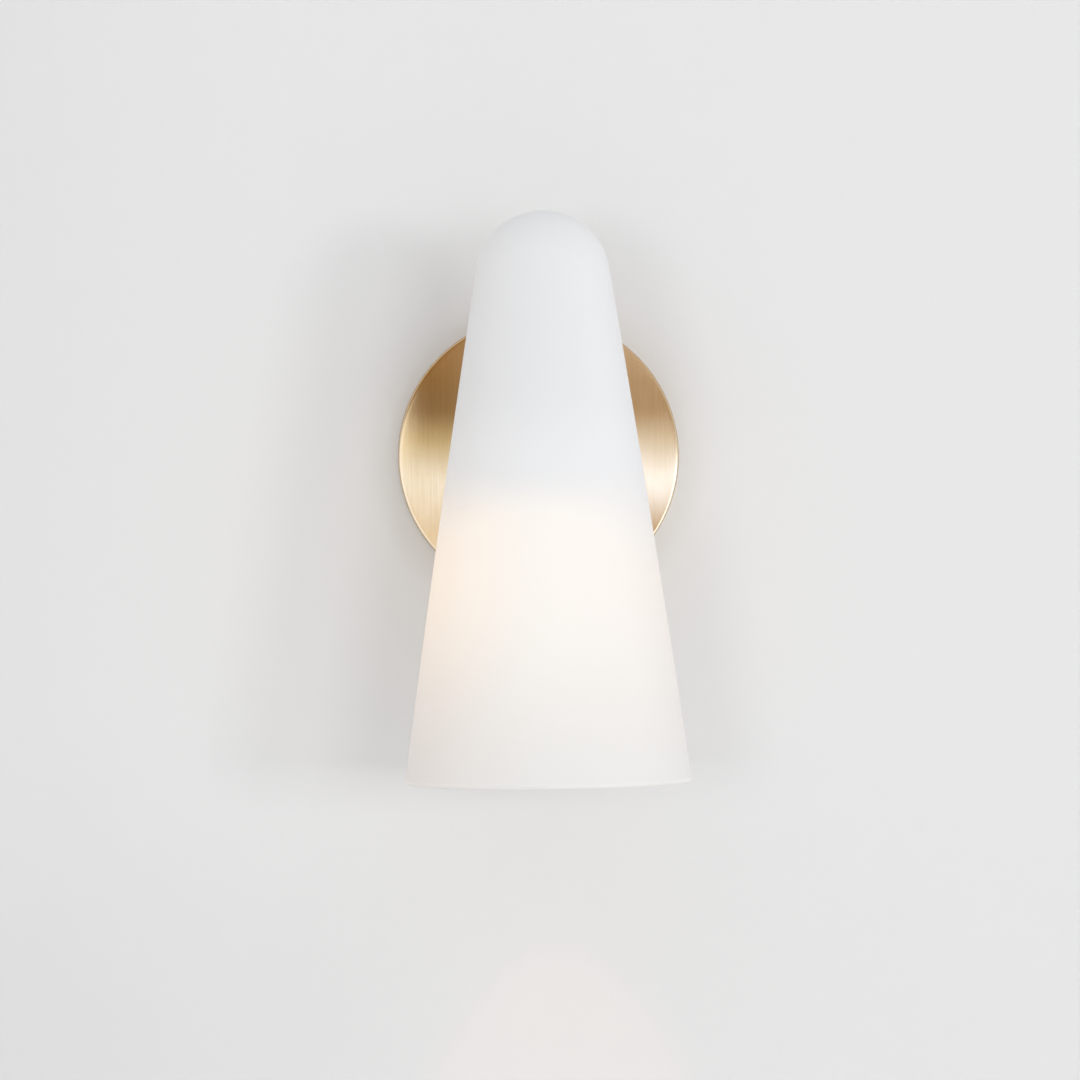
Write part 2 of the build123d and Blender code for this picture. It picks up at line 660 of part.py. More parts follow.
def lampholder_body():
    """The porcelain body: a cavity for the screw shell, and holes through and into its floor."""
    body = post(holder_radius, holder_low, holder_top)
    body = fillet(body.edges().group_by(Axis.Z)[0] + body.edges().group_by(Axis.Z)[-1], HOLDER_EDGE_RADIUS)
    body -= post(cavity_radius, holder_low - CUT_OVERRUN, cavity_top)
    for x, out in ((0, SHADE_OUT), (SHELL_STEM_X, SHADE_OUT)):
        body -= post(CONTACT_STEM / 2 + THREAD_GAP, cavity_top - CUT_OVERRUN, holder_top, x, out)
    for x in (-TERMINAL_X, TERMINAL_X):
        depth = holder_top - TERMINAL_SCREW_LENGTH
        body -= post(SMALL_SCREW / 2 + THREAD_GAP, depth, holder_top, x, terminal_out)
    for x in (-FIXING_X, FIXING_X):
        body -= post(SMALL_SCREW / 2 + THREAD_GAP, holder_top - FIXING_GRIP, holder_top, x, fixing_out)
    return body


def contact_strip(start_x, end_x):
    """A flat strip on the lampholder's top, from a contact's stem to its terminal screw."""
    start = Vector(start_x, -SHADE_OUT)
    end = Vector(end_x, -terminal_out)
    way = end - start
    turn = math.degrees(math.atan2(way.Y, way.X))
    middle = (start + end) / 2
    outline = Pos(middle.X, middle.Y) * Rot(Z=turn) * SlotCenterToCenter(way.length, STRIP_WIDTH)
    strip = Pos(Z=holder_top) * extrude(outline, STRIP_THICKNESS)
    return strip - post(SMALL_SCREW / 2 + HOLE_GAP, holder_top, strip_top, end_x, terminal_out)


def centre_contact():
    """The middle contact: a button in the cavity, a stem through the floor and a strip to its terminal."""
    plate = post(CONTACT_DIAMETER / 2, cavity_top - CONTACT_THICKNESS, cavity_top)
    button_low = cavity_top - 2 * CONTACT_THICKNESS
    button = post(CONTACT_BUTTON / 2, button_low, cavity_top - CONTACT_THICKNESS)
    stem = post(CONTACT_STEM / 2, cavity_top, holder_top)
    return plate + button + stem + contact_strip(0, TERMINAL_X)


def shell_contact():
    """The side contact: a stem on the screw shell's floor and a strip to its terminal."""
    stem = post(CONTACT_STEM / 2, cavity_top, holder_top, SHELL_STEM_X)
    return stem + contact_strip(SHELL_STEM_X, -TERMINAL_X)


# One helix serves the cap's ridge and the shell's groove, so that the bulb turns in its own thread
thread_low = cap_low + CAP_PLAIN_END + THREAD_RADIUS
thread_turns = (cap_top - THREAD_RADIUS - thread_low) / THREAD_PITCH
thread_path_radius = crest_radius - THREAD_RADIUS


def thread_tube(radius, extra_low, extra_high):
    """A round bar along the thread's helix, longer by some turns at its lower and upper end."""
    low = thread_low - extra_low * THREAD_PITCH
    height = (thread_turns + extra_low + extra_high) * THREAD_PITCH
    helix = Helix(THREAD_PITCH, height, thread_path_radius)
    section = Plane(origin=helix @ 0, z_dir=helix % 0) * Circle(radius)
    bar = sweep(section, path=helix, is_frenet=True)
    return Pos(0, -SHADE_OUT, low) * Rot(Z=-360 * extra_low) * bar


def screw_shell():
    """The threaded metal shell in the lampholder, with a floor ring on the cavity's floor."""
    shell = tube(shell_radius, shell_bore, holder_low + SHELL_LIP_GAP, cavity_top)
    shell += tube(shell_radius, SHELL_FLOOR_BORE / 2, cavity_top - SHELL_FLOOR, cavity_top)
    return shell - thread_tube(THREAD_RADIUS + THREAD_PLAY, GROOVE_LEAD_IN, GROOVE_RUN_OUT)


def terminal_heads():
    """The two screws that clamp the leads on the lampholder."""
    length = TERMINAL_SCREW_LENGTH + STRIP_THICKNESS + LEAD_DIAMETER - SEAT_GAP
    screw = slotted_screw(SMALL_SCREW, length, SMALL_SCREW_HEAD)
    return [Pos(x, -terminal_out, terminal_head) * screw for x in (-TERMINAL_X, TERMINAL_X)]


def fixing_screws():
    """The two screws down through the cup's top into the lampholder."""
    length = CUP_RISE - holder_top + FIXING_GRIP - SEAT_GAP
    screw = slotted_screw(SMALL_SCREW, length, SMALL_SCREW_HEAD)
    return [Pos(x, -fixing_out, CUP_RISE) * screw for x in (-FIXING_X, FIXING_X)]


def fixing_spacers():
    """The tubes that hold the lampholder down from the cup's top."""
    bore = SMALL_SCREW / 2 + HOLE_GAP
    high = CUP_RISE - CUP_WALL
    return [tube(SPACER_DIAMETER / 2, bore, holder_top, high, x, fixing_out) for x in (-FIXING_X, FIXING_X)]


def holder_lead(side):
    """A lead from the swivel along the arm, up behind the lampholder and under its terminal screw."""
    rise_out = (arm_end + SHADE_OUT - holder_radius) / 2 + SEAT_GAP
    run_height = strip_top + LEAD_DIAMETER / 2
    stop_out = terminal_out - SMALL_SCREW / 2 - HOLE_GAP
    points = [
        (side * LEAD_SPREAD, -lead_split - SEAT_GAP, 0),
        (side * LEAD_SPREAD, -rise_out, 0),
        (side * TERMINAL_X, -rise_out, run_height),
        (side * TERMINAL_X, -stop_out, run_height),
    ]
    return lead(points, HOLDER_LEAD_BEND)


def bulb_tip():
    """The tip contact on the end of the cap."""
    tip = post(TIP_DIAMETER / 2, tip_low, tip_top)
    return fillet(tip.edges().group_by(Axis.Z)[-1], TIP_HEIGHT * HEAD_ROUNDING)


def bulb_insulator():
    """The black glass cone between the cap and its tip."""
    foot = Pos(0, -SHADE_OUT, cap_top) * Circle(root_radius - THREAD_PLAY)
    head = Pos(0, -SHADE_OUT, tip_low) * Circle(INSULATOR_TOP_DIAMETER / 2)
    return loft([foot, head])


def bulb_cap():
    """The threaded cap, hollow, with a closed top and a plain end at the glass."""
    cap = post(root_radius, cap_low, cap_top) + thread_tube(THREAD_RADIUS, 0, 0)
    wall = root_radius - CAP_BORE_DIAMETER / 2
    return cap - post(CAP_BORE_DIAMETER / 2, cap_low - CUT_OVERRUN, cap_top - wall)


def globe_face(inset):
    """One face of the globe's outline, from the neck's end down to the bottom of the globe."""
    reach = globe_radius - inset
    neck = NECK_DIAMETER / 2 - inset
    flare = NECK_FLARE_RADIUS + inset
    flare_x = neck + flare
    flare_z = globe_centre + math.sqrt((reach + flare) ** 2 - flare_x**2)
    join_way = math.atan2(flare_z - globe_centre, flare_x)
    flare_turn = (math.pi + math.pi + join_way) / 2
    join = (reach * math.cos(join_way), globe_centre + reach * math.sin(join_way))
    flare_middle = (flare_x + flare * math.cos(flare_turn), flare_z + flare * math.sin(flare_turn))
    belly_way = (join_way - math.pi / 2) / 2
    belly = (reach * math.cos(belly_way), globe_centre + reach * math.sin(belly_way))
    return [
        Line((neck, cap_low - NECK_GAP), (neck, flare_z)),
        ThreePointArc((neck, flare_z), flare_middle, join),
        ThreePointArc(join, belly, (0, globe_centre - reach)),
    ]


def bulb_globe():
    """The blown globe: an even wall, open at the neck."""
    neck = NECK_DIAMETER / 2
    end = cap_low - NECK_GAP
    mouth = Line((neck, end), (neck - GLOBE_WALL, end))
    bottom = globe_centre - globe_radius
    pole = Line((0, bottom), (0, bottom + GLOBE_WALL))
    return turned_upright([*globe_face(0), mouth, *globe_face(GLOBE_WALL), pole])


# The stem's foot closes the neck
stem_foot_low = cap_low - NECK_GAP - GLOBE_WALL
stem_low = cap_low - STEM_LENGTH


def bulb_stem():
    """The glass stem, from its foot down to its tip."""
    foot = post(NECK_DIAMETER / 2 - GLOBE_WALL - SEAT_GAP, stem_foot_low, cap_low - NECK_GAP)
    top = Pos(0, -SHADE_OUT, stem_foot_low) * Circle(STEM_DIAMETER / 2)
    tip = Pos(0, -SHADE_OUT, stem_low) * Circle(STEM_TIP_DIAMETER / 2)
    return foot + loft([tip, top])


# The filaments lean outwards round the stem's tip, each between two support wires
filament_middle = globe_centre
lean_reach = math.sqrt(FILAMENT_LENGTH**2 - (FILAMENT_RING_BOTTOM - FILAMENT_RING_TOP) ** 2)
filament_top = filament_middle + lean_reach / 2
filament_low = filament_middle - lean_reach / 2


def filament_end(turn, radius, height):
    """A point on the ring of filament ends."""
    angle = math.radians(turn)
    return Vector(radius * math.cos(angle), radius * math.sin(angle) - SHADE_OUT, height)


def straight_wire(start, end, radius):
    """A straight round wire between two points."""
    path = Line(start, end)
    return sweep(Plane(origin=start, z_dir=end - start) * Circle(radius), path=path)


def filament_turns():
    """The angles of the filaments round the stem."""
    return [FILAMENT_FIRST_TURN + 360 * index / FILAMENT_COUNT for index in range(FILAMENT_COUNT)]


def bulb_filaments():
    """The light-giving sticks."""
    sticks = []
    for turn in filament_turns():
        top = filament_end(turn, FILAMENT_RING_TOP, filament_top)
        low = filament_end(turn, FILAMENT_RING_BOTTOM, filament_low)
        sticks.append(straight_wire(top, low, FILAMENT_DIAMETER / 2))
    return sticks


def bulb_supports():
    """The wires that hold the filaments: one from the stem's foot to each, and a spider on its tip."""
    wire_radius = SUPPORT_WIRE / 2
    spoke_height = filament_low - wire_radius - SEAT_GAP
    hub = Vector(0, -SHADE_OUT, spoke_height)
    spider = post(wire_radius, spoke_height - wire_radius, stem_low)
    wires = []
    for turn in filament_turns():
        spider += straight_wire(hub, filament_end(turn, FILAMENT_RING_BOTTOM, spoke_height), wire_radius)
        top = filament_end(turn, FILAMENT_RING_TOP, stem_foot_low)
        end = filament_end(turn, FILAMENT_RING_TOP, filament_top + SEAT_GAP)
        wires.append(straight_wire(top, end, wire_radius))
    return [spider, *wires]


nodes = {
    "wall_bracket": wall_bracket(),
    "backplate": backplate(),
    "plate_screws": plate_screws(),
    "terminal_block": terminal_block(),
    "terminal_sleeves": terminal_sleeves(),
    "terminal_screws": terminal_screws(),
    "block_screws": block_screws(),
    "earth_tag": earth_tag(),
    "earth_screw": earth_screw(),
    "earth_lead": earth_lead(),
    "live_supply_lead": live_supply_lead(),
    "neutral_supply_lead": neutral_supply_lead(),
    "threaded_nipple": threaded_nipple(),
    "lock_washer": lock_washer(),
    "nipple_nut": nipple_nut(),
    "swivel_hub": swivel_hub(),
    "stop_screw": stop_screw(),
    "friction_washer": friction_washer(),
    "arm": arm(),
    "outer_gasket": outer_gasket(),
    "glass_shade": glass_shade(),
    "inner_gasket": inner_gasket(),
    "clamp_washer": clamp_washer(),
    "ring_nut": ring_nut(),
    "socket_cup": socket_cup(),
    "lampholder_body": lampholder_body(),
    "screw_shell": screw_shell(),
    "centre_contact": centre_contact(),
    "shell_contact": shell_contact(),
    "holder_terminal_screws": terminal_heads(),
    "holder_fixing_screws": fixing_screws(),
    "holder_spacers": fixing_spacers(),
    "live_arm_lead": holder_lead(-1),
    "neutral_arm_lead": holder_lead(1),
    "bulb_tip": bulb_tip(),
    "bulb_insulator": bulb_insulator(),
    "bulb_cap": bulb_cap(),
    "bulb_globe": bulb_globe(),
    "bulb_stem": bulb_stem(),
    "bulb_filaments": bulb_filaments(),
    "bulb_supports": bulb_supports(),
}

os.makedirs("parts", exist_ok=True)
for name, shape in nodes.items():
    solids = shape if isinstance(shape, list) else [shape]
    export_step(Compound([solid for item in solids for solid in item.solids()]), f"parts/{name}.step")
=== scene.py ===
import json
import math

import bpy
from mathutils import Matrix, Vector


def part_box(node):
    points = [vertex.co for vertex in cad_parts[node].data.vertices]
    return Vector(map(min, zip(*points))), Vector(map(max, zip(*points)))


# A wall lamp with a tall cone of opal glass in front of a round brushed brass plate, lit from inside.
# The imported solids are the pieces; this script gives them their finishes, and adds wall, light and camera.
# Lengths are in metres, powers in watts, and colours are shares of red, green and blue.
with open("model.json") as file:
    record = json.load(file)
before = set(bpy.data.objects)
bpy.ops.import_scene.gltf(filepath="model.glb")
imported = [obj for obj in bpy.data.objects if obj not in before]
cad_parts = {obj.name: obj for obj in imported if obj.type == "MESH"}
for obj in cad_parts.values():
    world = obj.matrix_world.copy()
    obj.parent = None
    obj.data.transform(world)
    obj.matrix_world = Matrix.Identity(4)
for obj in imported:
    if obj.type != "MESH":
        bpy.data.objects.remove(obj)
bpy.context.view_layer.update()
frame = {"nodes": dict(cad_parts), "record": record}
nodes = frame["nodes"]

# The picture: its size, and where the backplate's front face stands in it, in pixels
PICTURE_SIDE = 1080
PLATE_CENTRE_PX = (538.8, 456.0)
PLATE_RADIUS_PX = 140.7
SHADE_LEAN = math.radians(0.65)

# The camera: how far it stands from the plate, how far to the left of it, and its sensor in millimetres
CAMERA_DISTANCE = 2.18
CAMERA_LEFT = 0.07
SENSOR_WIDTH_MM = 36.0

# The room: a pale wall behind the lamp, with a hole behind the plate, and a floor joined to it by a cove
ROOM_SIZE = 40.0
FLOOR_DROP = 1.65
COVE_RADIUS = 0.5
COVE_SEGMENTS = 16
WALL_GAP = 0.0006
WALL_HOLE = 0.057
WALL_HOLE_EDGE = 0.001

# The wall: its colour, the shares of that colour in its darker plaster and in its painted shade,
# and the width of the painted shadow round the plate
WALL_COLOR = (0.885, 0.885, 0.887)
PLASTER_SHADE = 0.985
PAINTED_SHADE_SHARE = 0.914
PAINTED_SHADOW_WIDTH = 0.016

# The pale surround: its colour, and its strength as a light
WORLD_COLOR = (0.80, 0.80, 0.80)
WORLD_LIGHT = 0.856

# Soft lights far in front: how far to the right each one stands, its width and its power
KEY_LIGHTS = {
    "right_key": (1.60, 1.4, 37.0),
    "left_key": (-1.88, 1.3, 34.0),
    "far_right_key": (4.10, 1.4, 56.0),
}
KEY_OUT = 6.5
KEY_HEIGHT = -0.02

# Soft lights at the two sides: how far to the right each one stands, its width and its power
FILL_LIGHTS = {
    "left_fill": (-1.7, 1.2, 4.75),
    "right_fill": (1.7, 1.2, 5.0),
}
FILL_OUT = 0.6
FILL_HEIGHT = 0.45
SOFT_LIGHT_LENGTH = 1.2

# The light that makes the pool on the wall below the shade
POOL_LIGHT_RIGHT = 0.006
POOL_LIGHT_HEIGHT = 0.155
POOL_LIGHT_POWER = 1.35
POOL_LIGHT_COLOR = (1.0, 0.42, 0.18)
POOL_LIGHT_ANGLE = math.radians(31.0)
POOL_LIGHT_SOFT_EDGE = 0.08
POOL_LIGHT_RADIUS = 0.004

# A board before the plate that shows only in the brass: its distance and size
REFLECTOR_GAP = 0.010
REFLECTOR_SIZE = (0.26, 0.20)

# The glow on the glass: how far above the socket cup's rim it starts, how far down it is full,
# and how far up its halo reaches
GLOW_LEAD = 0.009
GLOW_RISE = 0.023
GLOW_HALO = 0.035

# A Mix node's sockets for colours: its factor, its two colours and its result
MIX_SOCKETS = (0, 6, 7, 2)

# Places on the lamp, from the solids
shade_low, shade_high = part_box("glass_shade")
shade_axis_y = (shade_low.y + shade_high.y) / 2
shade_middle = Vector((0.0, shade_axis_y, (shade_low.z + shade_high.z) / 2))
globe_low, globe_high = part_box("bulb_globe")
globe_middle = globe_low.z + (globe_high.x - globe_low.x) / 2
glow_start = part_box("socket_cup")[0].z + GLOW_LEAD
plate_low, plate_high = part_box("backplate")
plate_radius = (plate_high.x - plate_low.x) / 2
plate_front = plate_low.y


class Value:
    """A node's output; arithmetic on it adds Math nodes."""

    def __init__(self, sheet, socket):
        self.sheet = sheet
        self.socket = socket

    def math(self, operation, first, second):
        return self.sheet.node("ShaderNodeMath", {"operation": operation}, {0: first, 1: second})

    def __add__(self, other):
        return self.math("ADD", self, other)

    def __radd__(self, other):
        return self.math("ADD", other, self)

    def __sub__(self, other):
        return self.math("SUBTRACT", self, other)

    def __rsub__(self, other):
        return self.math("SUBTRACT", other, self)

    def __mul__(self, other):
        return self.math("MULTIPLY", self, other)

    def __pow__(self, other):
        return self.math("POWER", self, other)


class NodeSheet:
    """The nodes of a material or of the world."""

    def __init__(self, tree):
        self.tree = tree

    def set(self, node, socket, value):
        """Gives one input of a node a value or a link; a plain colour gets its alpha here."""
        target = node.inputs[socket]
        if isinstance(value, Value):
            self.tree.links.new(value.socket, target)
        elif target.type == "RGBA":
            target.default_value = (*value, 1.0)
        else:
            target.default_value = value

    def node(self, kind, settings=None, inputs=None, output=0):
        """Adds a node, with its settings first, and returns one of its outputs."""
        made = self.tree.nodes.new(kind)
        for setting, value in (settings or {}).items():
            setattr(made, setting, value)
        for socket, value in (inputs or {}).items():
            self.set(made, socket, value)
        return Value(self, made.outputs[output])

    def seen(self):
        """1 for rays that show a thing to the camera, straight or in metal and glass, else 0."""
        rays = ("Is Camera Ray", "Is Glossy Ray", "Is Transmission Ray")
        camera, glossy, through = [self.node("ShaderNodeLightPath", output=ray) for ray in rays]
        return camera.math("MAXIMUM", camera, glossy.math("MAXIMUM", glossy, through))


class Finish(NodeSheet):
    """One material: a Principled shader, and the nodes that vary it over the surface."""

    def __init__(self, name, sockets):
        self.material = bpy.data.materials.new(name)
        self.material.use_nodes = True
        super().__init__(self.material.node_tree)
        self.shader = self.tree.nodes["Principled BSDF"]
        self.surface = Value(self, self.shader.outputs["BSDF"])
        self.apply(sockets)

    def apply(self, sockets):
        """Gives the shader's sockets their values or links."""
        for socket, value in sockets.items():
            self.set(self.shader, socket, value)

    def place(self, stretch=(1.0, 1.0, 1.0), shift=(0.0, 0.0, 0.0)):
        """Object coordinates, stretched and shifted."""
        coordinates = self.node("ShaderNodeTexCoord", output="Object")
        inputs = {"Vector": coordinates, "Location": shift, "Scale": stretch}
        return self.node("ShaderNodeMapping", {"vector_type": "POINT"}, inputs)

    def along(self, axis):
        """One object coordinate as a number."""
        coordinates = self.node("ShaderNodeTexCoord", output="Object")
        return self.node("ShaderNodeSeparateXYZ", {}, {"Vector": coordinates}, axis)

    def noise(self, scale=1.0, detail=2.0, roughness=0.5, stretch=(1.0, 1.0, 1.0), shift=(0.0, 0.0, 0.0)):
        """Cloudy noise from 0 to 1."""
        place = self.place(stretch, shift)
        inputs = {"Vector": place, "Scale": scale, "Detail": detail, "Roughness": roughness}
        return self.node("ShaderNodeTexNoise", {}, inputs, "Fac")

    def ease(self, value, start, end):
        """A soft step from 0 at start to 1 at end."""
        inputs = {"Value": value, "From Min": start, "From Max": end}
        return self.node("ShaderNodeMapRange", {"interpolation_type": "SMOOTHSTEP"}, inputs)

    def blend(self, factor, first, second):
        """A colour between two colours."""
        factor_socket, first_socket, second_socket, result = MIX_SOCKETS
        inputs = {factor_socket: factor, first_socket: first, second_socket: second}
        return self.node("ShaderNodeMix", {"data_type": "RGBA"}, inputs, result)

    def cover(self, share, shader):
        """Puts another shader in place of the surface, by a share."""
        self.surface = self.node("ShaderNodeMixShader", {}, {0: share, 1: self.surface, 2: shader})
        self.set(self.tree.nodes["Material Output"], "Surface", self.surface)

    def clear_where(self, share):
        """Lets rays through unchanged where the share is 1."""
        self.cover(share, self.node("ShaderNodeBsdfTransparent"))

    def relief(self, height, distance, strength):
        """Raises the surface by a height that is a share of a distance."""
        inputs = {"Height": height, "Distance": distance, "Strength": strength}
        self.apply({"Normal": self.node("ShaderNodeBump", {}, inputs)})


def brushed_brass():
    """Satin brass, brushed upright: fine streaks, a soft patina, a paler rubbed edge with a painted
    highlight below and painted shade above, and a painted dark line along its outside.
    """
    finish = Finish("brushed_brass", {"Metallic": 1.0, "Anisotropic": 0.6})
    deep_brass = (0.79, 0.59, 0.32)
    pale_brass = (0.93, 0.76, 0.50)
    lit_edge_pale = (0.96, 0.86, 0.70)
    shaded_edge_tan = (0.70, 0.50, 0.30)
    painted_dark_edge_brown = (0.40, 0.26, 0.12)
    x = finish.along("X")
    y = finish.along("Y")
    z = finish.along("Z")
    grain = finish.noise(detail=4.0, roughness=0.6, stretch=(2600.0, 2600.0, 26.0))
    streak = finish.noise(detail=3.0, roughness=0.6, stretch=(700.0, 700.0, 60.0))
    patina = finish.noise(scale=60.0, detail=3.0, roughness=0.55)
    # Round the plate's side the brush went along the edge
    side = finish.ease(y, plate_front + 0.0008, plate_front + 0.0026)
    rings = finish.noise(detail=4.0, roughness=0.6, stretch=(60.0, 2600.0, 60.0))
    grain = grain + side * (rings - grain)
    streak = streak + side * (0.5 - streak)
    tone = finish.ease(grain * 0.45 + streak * 0.25 + patina * 0.30, 0.25, 0.75)
    colour = finish.blend(tone, deep_brass, pale_brass)
    # The rounded edge is smoother and rubbed, with painted light on it: pale below as a highlight and tan
    # above as shade; a thin painted dark line, the shaded wall mirrored, runs along its outside
    radius_squared = x * x + z * z
    edge = finish.ease(radius_squared, (plate_radius - 0.0016) ** 2, (plate_radius - 0.0008) ** 2)
    # Painted light: the edge is painted pale in its lower half as a highlight and tan in its upper half as
    # shade
    rubbed_edge_with_painted_light = finish.blend(finish.ease(z, -0.008, 0.028), lit_edge_pale, shaded_edge_tan)
    colour = finish.blend(edge * 0.55, colour, rubbed_edge_with_painted_light)
    # Painted shade: a thin dark line along the outside of the edge, where the shaded wall is mirrored
    outermost = finish.ease(radius_squared, (plate_radius - 0.0007) ** 2, (plate_radius - 0.0002) ** 2)
    line = outermost * finish.ease(y, plate_front + 0.0034, plate_front + 0.0022)
    colour = finish.blend(line * 0.6, colour, painted_dark_edge_brown)
    satin = 0.31 + grain * 0.09 + streak * 0.03
    finish.apply({"Base Color": colour, "Roughness": satin - edge * 0.18})
    finish.relief(grain * 0.6 + streak * 0.4, distance=0.00003, strength=0.25)
    return finish.material


def turned_brass(name, stretch):
    """Satin brass from the lathe: fine rings round its axis, which is where the stretch is large."""
    finish = Finish(name, {"Metallic": 1.0, "Anisotropic": 0.4})
    deep_brass = (0.72, 0.53, 0.28)
    pale_brass = (0.88, 0.70, 0.42)
    rings = finish.noise(detail=3.0, roughness=0.6, stretch=stretch)
    patina = finish.noise(scale=60.0, detail=3.0, roughness=0.55)
    colour = finish.blend(rings * 0.5 + patina * 0.5, deep_brass, pale_brass)
    finish.apply({"Base Color": colour, "Roughness": 0.24 + rings * 0.16 + patina * 0.06})
    finish.relief(rings, distance=0.00003, strength=0.4)
    return finish.material


def contact_brass():
    """Plain stamped brass with a dull film."""
    finish = Finish("contact_brass", {"Metallic": 1.0})
    dull_brass = (0.62, 0.46, 0.20)
    bright_brass = (0.86, 0.70, 0.38)
    film = finish.noise(scale=240.0, detail=4.0, roughness=0.6)
    scratch = finish.noise(stretch=(900.0, 160.0, 160.0))
    colour = finish.blend(film, dull_brass, bright_brass)
    finish.apply({"Base Color": colour, "Roughness": 0.26 + film * 0.18 + scratch * 0.06})
    finish.relief(scratch, distance=0.00002, strength=0.4)
    return finish.material


def zinc_steel():
    """Zinc plated steel: a cool grey with pale and slightly yellow clouds."""
    finish = Finish("zinc_steel", {"Metallic": 1.0})
    dark_zinc = (0.48, 0.50, 0.52)
    pale_zinc = (0.76, 0.77, 0.78)
    yellow_zinc = (0.72, 0.66, 0.50)
    clouds = finish.noise(scale=170.0, detail=5.0, roughness=0.6)
    tint = finish.noise(scale=70.0, shift=(0.3, 0.1, 0.2))
    grey = finish.blend(clouds, dark_zinc, pale_zinc)
    colour = finish.blend(tint * 0.22, grey, yellow_zinc)
    finish.apply({"Base Color": colour, "Roughness": 0.30 + clouds * 0.2})
    finish.relief(clouds, distance=0.00003, strength=0.3)
    return finish.material


def opal_glow(finish, z, rise, left, right):
    """The light of the opal glass: warm at the bulb, warmest at the left, and fading towards the rim."""
    no_light = (0.0, 0.0, 0.0)
    painted_lip_highlight = (0.12, 0.12, 0.11)
    inner_light = (0.28, 0.245, 0.195)
    fade = finish.ease(z, shade_low.z - 0.03, globe_middle)
    middle_glow = finish.blend(fade ** 1.3, (0.01, 0.005, 0.0), (0.17, 0.13, 0.09))
    left_glow = finish.blend(fade ** 2.0, (0.03, 0.01, 0.005), (0.28, 0.17, 0.065))
    right_glow = finish.blend(fade ** 1.3, no_light, (0.10, 0.055, 0.025))
    glow = finish.blend(right, finish.blend(left, middle_glow, left_glow), right_glow)
    # A weak halo lies above the glow
    halo = finish.ease(z, glow_start + GLOW_HALO, glow_start)
    halo_glow = finish.blend(right, (0.048, 0.047, 0.046), (0.018, 0.018, 0.018))
    lit = finish.blend(rise, finish.blend(halo, no_light, halo_glow), glow)
    # A painted highlight runs along the rim's lip
    lip = finish.ease(z, shade_low.z + 0.0024, shade_low.z + 0.0008)
    lit = finish.blend(lip * 0.5, lit, painted_lip_highlight)
    # Inside, above the bulb, the glass passes the daylight on
    facing = finish.node("ShaderNodeTexCoord", output="Normal")
    from_bulb = finish.place(shift=(0.0, -shade_axis_y, -globe_middle))
    vectors = {0: facing, 1: from_bulb}
    outward = finish.node("ShaderNodeVectorMath", {"operation": "DOT_PRODUCT"}, vectors, "Value")
    inside = finish.ease(outward, 0.004, -0.004)
    upper = finish.ease(z, globe_middle, globe_high.z + 0.01)
    return finish.blend(inside * upper, lit, inner_light)


def opal_glass():
    """Matte opal glass that glows round the bulb, with painted shade at its left and a painted warm tint
    where it is lit.
    """
    finish = Finish("opal_glass", {"IOR": 1.5, "Emission Strength": 1.0})
    cool_opal = (0.80, 0.805, 0.82)
    pale_opal = (0.82, 0.825, 0.836)
    painted_left_shade_opal = (0.772, 0.755, 0.735)
    lit_middle = (0.82, 0.815, 0.805)
    lit_left = (0.80, 0.775, 0.75)
    lit_right = (0.815, 0.805, 0.79)
    x = finish.along("X")
    z = finish.along("Z")
    left = finish.ease(x, 0.0, shade_low.x)
    right = finish.ease(x, 0.0, shade_high.x)
    # The glow starts near the socket cup's rim, and more softly at the flanks and the right
    flank = finish.ease(x * x, 0.0, 0.045**2)
    dark_above = glow_start + flank * 0.007
    full_below = glow_start - GLOW_RISE - flank * 0.012 - right * 0.018
    rise = finish.ease(z, dark_above, full_below)
    cloud = finish.noise(scale=22.0)
    etch = finish.noise(scale=2400.0)
    # Painted shade: the body is painted darker and warmer towards the left
    body = finish.blend(left, finish.blend(cloud, cool_opal, pale_opal), painted_left_shade_opal)
    # Painted light: where the glow is, the base colour is painted warmer
    tint = finish.blend(right, finish.blend(left, lit_middle, lit_left), lit_right)
    colour = finish.blend(rise, body, tint)
    lit = opal_glow(finish, z, rise, left, right)
    finish.apply({"Base Color": colour, "Emission Color": lit, "Roughness": 0.42 + etch * 0.1})
    finish.relief(etch, distance=0.00001, strength=0.2)
    return finish.material


def frosted_glass():
    """The lit globe, brightest at its foot and darker at the neck."""
    finish = Finish("frosted_glass", {"IOR": 1.5, "Emission Strength": 1.0})
    neck_light = (0.26, 0.18, 0.10)
    belly_light = (0.46, 0.35, 0.20)
    foot_light = (0.66, 0.58, 0.46)
    dull_frost = (0.66, 0.64, 0.60)
    pale_frost = (0.72, 0.70, 0.66)
    z = finish.along("Z")
    frost = finish.noise(scale=900.0)
    belly = finish.ease(z, globe_high.z, globe_middle + 0.006)
    foot = finish.ease(z, globe_middle + 0.004, globe_low.z + 0.006)
    lit = finish.blend(foot, finish.blend(belly, neck_light, belly_light), foot_light)
    body = finish.blend(frost, dull_frost, pale_frost)
    finish.apply({"Base Color": body, "Emission Color": lit, "Roughness": 0.34 + frost * 0.1})
    return finish.material


def clear_glass():
    """The bulb's clear stem."""
    sockets = {"Transmission Weight": 1.0, "IOR": 1.5, "Base Color": (0.95, 0.97, 0.97)}
    finish = Finish("clear_glass", sockets)
    ripple = finish.noise(scale=300.0)
    finish.apply({"Roughness": 0.02 + ripple * 0.04})
    return finish.material


def black_glass():
    """The cap's black insulator."""
    finish = Finish("black_glass", {"IOR": 1.5})
    cast = finish.noise(scale=500.0, detail=3.0)
    colour = finish.blend(cast, (0.012, 0.012, 0.014), (0.03, 0.03, 0.034))
    finish.apply({"Base Color": colour, "Roughness": 0.08 + cast * 0.1})
    return finish.material


